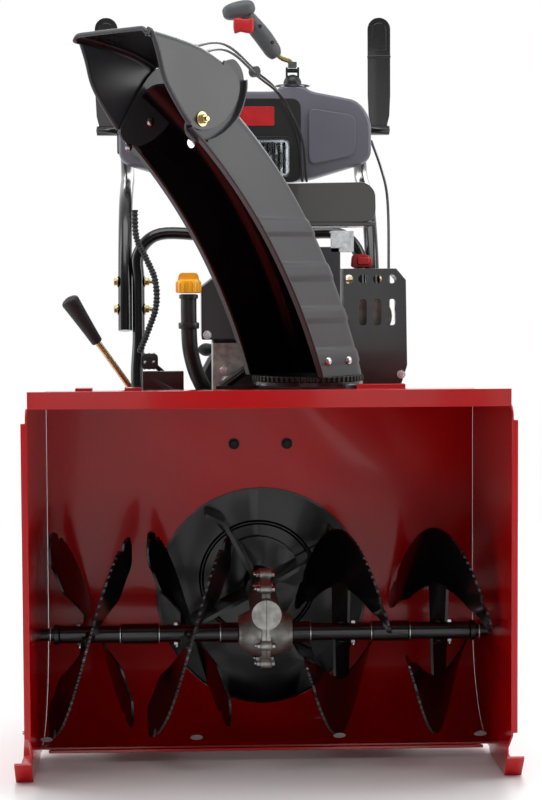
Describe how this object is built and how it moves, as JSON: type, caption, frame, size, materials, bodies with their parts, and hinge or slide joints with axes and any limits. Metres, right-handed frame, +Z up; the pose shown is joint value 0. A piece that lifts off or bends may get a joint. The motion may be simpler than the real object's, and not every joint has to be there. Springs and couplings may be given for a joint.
{
  "type": "two stage snowblower",
  "caption": "Walk-behind two stage snowblower with an auger intake, turning chute with deflector, engine, two wheels and handlebars.",
  "frame": {"origin": "centre of the footprint on the ground", "axes": "+Z up, -Y towards the intake, +X to the right when seen from the front"},
  "size_m": [0.7166, 1.48, 1.2171],
  "materials": {
    "red_paint": "gloss",
    "black_paint": "gloss",
    "cast_aluminium": "cast",
    "rim_metal": "gloss",
    "steel": "satin",
    "zinc_steel": "yellow zinc plated",
    "grey_plastic": "satin moulded",
    "panel_plastic": "satin moulded",
    "black_plastic": "satin moulded",
    "black_rubber": "matte",
    "tyre_rubber": "matte",
    "yellow_plastic": "gloss",
    "red_plastic": "gloss",
    "clear_lens": "clear"
  },
  "bodies": {
    "chassis": {"housing_shell": "red_paint", "side_plate_left": "red_paint", "side_plate_right": "red_paint", "scraper_blade": "red_paint", "skid_shoe_left": "red_paint", "skid_shoe_right": "red_paint", "impeller_drum": "red_paint", "tractor_frame": "black_paint", "handle_hoop": "black_paint", "handle_tube_left": "black_paint", "handle_tube_right": "black_paint", "muffler_guard": "black_paint", "starter_motor": "black_paint", "gearbox_half_left": "cast_aluminium", "gearbox_half_right": "cast_aluminium", "engine_block": "cast_aluminium", "muffler": "steel", "engine_shroud": "grey_plastic", "dash_panel": "panel_plastic", "belt_cover": "black_plastic", "fuel_tank": "black_plastic", "recoil_housing": "black_plastic", "oil_filler_tube": "black_plastic", "grip_left": "black_rubber", "grip_right": "black_rubber", "drive_belt": "black_rubber", "starter_plug": "black_rubber", "starter_lead": "black_rubber", "control_cable_upper": "black_rubber", "control_cable_lower": "black_rubber", "drive_cable": "black_rubber", "wiring_loom": "black_rubber", "headlight_lens": "clear_lens"},
    "auger": {"auger_shaft": "black_paint", "auger_flight_left_inner": "black_paint", "auger_flight_left_outer": "black_paint", "auger_flight_right_inner": "black_paint", "auger_flight_right_outer": "black_paint"},
    "impeller": {"impeller": "black_paint", "impeller_shaft": "steel"},
    "crankshaft": {"engine_pulley": "steel"},
    "wheels": {"axle": "steel", "tyre_left": "tyre_rubber", "tyre_right": "tyre_rubber", "wheel_rim_left": "rim_metal", "wheel_rim_right": "rim_metal"},
    "turret": {"chute_ring": "black_plastic", "chute": "grey_plastic"},
    "deflector": {"deflector": "grey_plastic"},
    "gimbal": {"joystick_gimbal": "black_plastic"},
    "joystick": {"joystick": "grey_plastic"},
    "trigger": {"joystick_trigger": "red_plastic"},
    "lever_left": {"control_lever_left": "black_plastic"},
    "lever_right": {"control_lever_right": "black_plastic"},
    "speed_lever": {"speed_lever": "black_plastic"},
    "side_lever": {"side_lever": "zinc_steel"},
    "fuel_cap": {"fuel_cap": "black_plastic"},
    "oil_cap": {"oil_filler_cap": "yellow_plastic"},
    "recoil_handle": {"recoil_handle": "black_plastic"},
    "choke_knob": {"choke_knob": "black_plastic"}
  },
  "joints": [
    {"name": "impeller_spin", "type": "hinge", "parent": "chassis", "child": "impeller", "pos_m": [0, -0.27, 0.219], "axis": [0, 1, 0], "continuous": true},
    {"name": "auger_spin", "type": "hinge", "parent": "chassis", "child": "auger", "pos_m": [0, -0.505, 0.184], "axis": [1, 0, 0], "continuous": true},
    {"name": "crank_spin", "type": "hinge", "parent": "chassis", "child": "crankshaft", "pos_m": [0.005, -0.165, 0.509], "axis": [0, 1, 0], "continuous": true},
    {"name": "wheel_spin", "type": "hinge", "parent": "chassis", "child": "wheels", "pos_m": [0, 0, 0.18887], "axis": [1, 0, 0], "continuous": true},
    {"name": "chute_turn", "type": "hinge", "parent": "chassis", "child": "turret", "pos_m": [0.078, -0.268, 0.544], "axis": [0, 0, 1], "range_deg": [-55, 145], "deforming": ["control_cable_upper", "control_cable_lower"]},
    {"name": "deflector_tilt", "type": "hinge", "parent": "turret", "child": "deflector", "pos_m": [-0.14191, -0.48791, 0.936], "axis": [0.7071, -0.7071, 0], "range_deg": [-5, 45]},
    {"name": "stick_roll", "type": "hinge", "parent": "chassis", "child": "gimbal", "pos_m": [0.09, 0.41, 1.066], "axis": [0, 1, 0], "range_deg": [-24, 60]},
    {"name": "stick_pitch", "type": "hinge", "parent": "gimbal", "child": "joystick", "pos_m": [0.09, 0.41, 1.09], "axis": [1, 0, 0], "range_deg": [-4, 25]},
    {"name": "trigger_press", "type": "slide", "parent": "joystick", "child": "trigger", "axis": [0, 1, 0], "range_m": [0, 0.004], "stiffness_N_per_m": 300, "springref_m": -0.002},
    {"name": "lever_left_press", "type": "hinge", "parent": "chassis", "child": "lever_left", "pos_m": [0, 0.51, 0.985], "axis": [1, 0, 0], "range_deg": [-55, 0], "stiffness_Nm_per_rad": 0.8, "springref_deg": 11.46},
    {"name": "lever_right_press", "type": "hinge", "parent": "chassis", "child": "lever_right", "pos_m": [0, 0.51, 0.985], "axis": [1, 0, 0], "range_deg": [-55, 0], "stiffness_Nm_per_rad": 0.8, "springref_deg": 11.46},
    {"name": "speed_select", "type": "hinge", "parent": "chassis", "child": "speed_lever", "pos_m": [-0.11, 0.42, 1.01], "axis": [1, 0, 0], "range_deg": [-16, 16]},
    {"name": "side_lever_swing", "type": "hinge", "parent": "chassis", "child": "side_lever", "pos_m": [-0.124, -0.155, 0.38], "axis": [1, 0, 0], "range_deg": [-12, 18]},
    {"name": "fuel_cap_turn", "type": "hinge", "parent": "chassis", "child": "fuel_cap", "pos_m": [0.02, 0, 0.88], "axis": [0, 0, 1], "range_deg": [0, 90]},
    {"name": "oil_cap_turn", "type": "hinge", "parent": "chassis", "child": "oil_cap", "pos_m": [-0.109, -0.136, 0.692], "axis": [0, 0, 1], "range_deg": [0, 180]},
    {"name": "recoil_pull", "type": "slide", "parent": "chassis", "child": "recoil_handle", "axis": [0, 1, 0], "range_m": [0, 0.35], "stiffness_N_per_m": 12, "springref_m": -0.1},
    {"name": "choke_pull", "type": "slide", "parent": "chassis", "child": "choke_knob", "axis": [0, 1, 0], "range_m": [0, 0.012]}
  ],
  "couplings": [
    {"joint": "auger_spin", "follows": "impeller_spin", "ratio": 0.1},
    {"joint": "crank_spin", "follows": "impeller_spin", "ratio": 2.875},
    {"joint": "stick_roll", "follows": "chute_turn", "ratio": 0.4},
    {"joint": "stick_pitch", "follows": "deflector_tilt", "ratio": 0.5}
  ]
}
